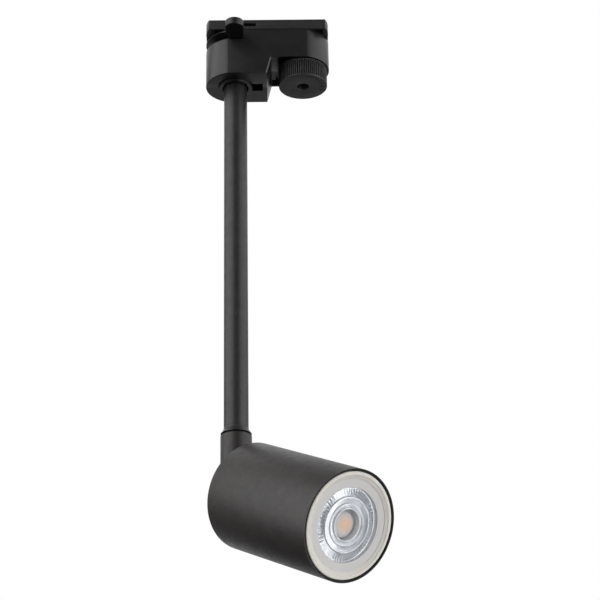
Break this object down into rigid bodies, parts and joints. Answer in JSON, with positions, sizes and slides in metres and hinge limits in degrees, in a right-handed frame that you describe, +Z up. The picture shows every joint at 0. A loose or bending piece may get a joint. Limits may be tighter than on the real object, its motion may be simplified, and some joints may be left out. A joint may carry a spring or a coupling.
{
  "type": "track spotlight",
  "caption": "Small black track spotlight: plug-in adapter with a lock lever and ribbed contact knob, straight stem, and a cylindrical head that pans and tilts round a reflector lamp",
  "frame": {"origin": "centre of the adapter's flat top face, the face that lies against the track", "axes": "+Z up, out of the top face into the track; +X along the adapter from the stem end to the contact knob; -Y is the front, where the lock lever points; the stem hangs down -Z"},
  "size_m": [0.0916, 0.0963, 0.3373],
  "materials": {
    "housing_plastic": "moulded matte black plastic with a fine grain",
    "lever_plastic": "smooth matte black plastic",
    "knob_plastic": "matte black plastic, finely ribbed round the side",
    "terminal_plastic": "off-white nylon",
    "painted_steel": "black powder coat with a fine texture",
    "painted_aluminium": "black satin powder coat, very fine texture",
    "zinc_steel": "bright zinc plate",
    "brass": "bare brass",
    "washer_nylon": "black nylon",
    "ceramic": "glazed steatite",
    "lamp_plastic": "cream-white satin plastic",
    "lens_plastic": "clear moulded acrylic, frosted round the flange",
    "led_board": "white solder mask",
    "phosphor": "yellow-orange silicone phosphor",
    "circuit_board": "green solder mask",
    "live_insulation": "brown wire insulation",
    "neutral_insulation": "blue wire insulation",
    "earth_insulation": "green and yellow wire insulation"
  },
  "bodies": {
    "adapter": {"base_plate": "housing_plastic", "housing_front": "housing_plastic", "housing_back": "housing_plastic", "housing_screw_left": "zinc_steel", "housing_screw_middle": "zinc_steel", "housing_screw_right": "zinc_steel", "plate_screw_front": "zinc_steel", "plate_screw_back": "zinc_steel", "earth_contact": "brass", "terminal_block": "terminal_plastic", "terminal_screw_live": "brass", "terminal_screw_earth": "brass", "terminal_screw_neutral": "brass", "live_wiper": "brass", "neutral_wiper": "brass", "live_wire": "live_insulation", "neutral_wire": "neutral_insulation", "earth_wire": "earth_insulation", "earth_tag": "brass", "stem_bushing": "housing_plastic", "stem_nipple": "zinc_steel", "stem_nut": "zinc_steel", "lock_washer": "zinc_steel", "stem_tube": "painted_steel", "stem_ferrule": "painted_steel", "swivel_bolt": "zinc_steel"},
    "lock": {"lock_lever": "lever_plastic", "lock_wing": "lever_plastic", "lock_screw": "zinc_steel"},
    "contacts": {"contact_knob": "knob_plastic", "contact_carrier": "lever_plastic", "live_contact": "brass", "neutral_contact": "brass", "knob_screw": "zinc_steel"},
    "swivel": {"swivel_washer": "washer_nylon", "swivel_collar": "painted_aluminium", "pivot_nut": "zinc_steel"},
    "head": {"tilt_knuckle": "painted_aluminium", "pivot_screw": "zinc_steel", "rear_cap": "painted_aluminium", "head_housing": "painted_aluminium", "holder_bracket": "zinc_steel", "lamp_holder": "ceramic", "knuckle_screw_upper": "zinc_steel", "knuckle_screw_lower": "zinc_steel", "bracket_screw_left": "zinc_steel", "bracket_screw_right": "zinc_steel", "holder_screw_left": "zinc_steel", "holder_screw_right": "zinc_steel", "head_live_wire": "live_insulation", "head_neutral_wire": "neutral_insulation"},
    "lamp": {"lamp_shell": "lamp_plastic", "lamp_front_ring": "lamp_plastic", "lamp_lens": "lens_plastic", "lamp_pin_upper": "brass", "lamp_pin_lower": "brass", "led_board": "led_board", "led_chip": "phosphor", "driver_board": "circuit_board"}
  },
  "joints": [
    {"name": "lock_turn", "type": "hinge", "parent": "adapter", "child": "lock", "pos_m": [-0.0178, 0, -0.0095], "axis": [0, 0, 1], "range_deg": [-90, 0]},
    {"name": "contact_turn", "type": "hinge", "parent": "adapter", "child": "contacts", "pos_m": [0.0195, 0, -0.028], "axis": [0, 0, 1], "range_deg": [0, 90]},
    {"name": "head_pan", "type": "hinge", "parent": "adapter", "child": "swivel", "pos_m": [-0.0178, 0, -0.245], "axis": [0, 0, 1], "range_deg": [-175, 175]},
    {"name": "head_tilt", "type": "hinge", "parent": "swivel", "child": "head", "pos_m": [-0.0178, 0, -0.26845], "axis": [0.7466, 0.6652, 0], "range_deg": [-25.1, 64.9]},
    {"name": "lamp_twist", "type": "hinge", "parent": "head", "child": "lamp", "pos_m": [0.01835, -0.04057, -0.2939], "axis": [0.6024, -0.6761, -0.4242], "range_deg": [0, 20]}
  ]
}
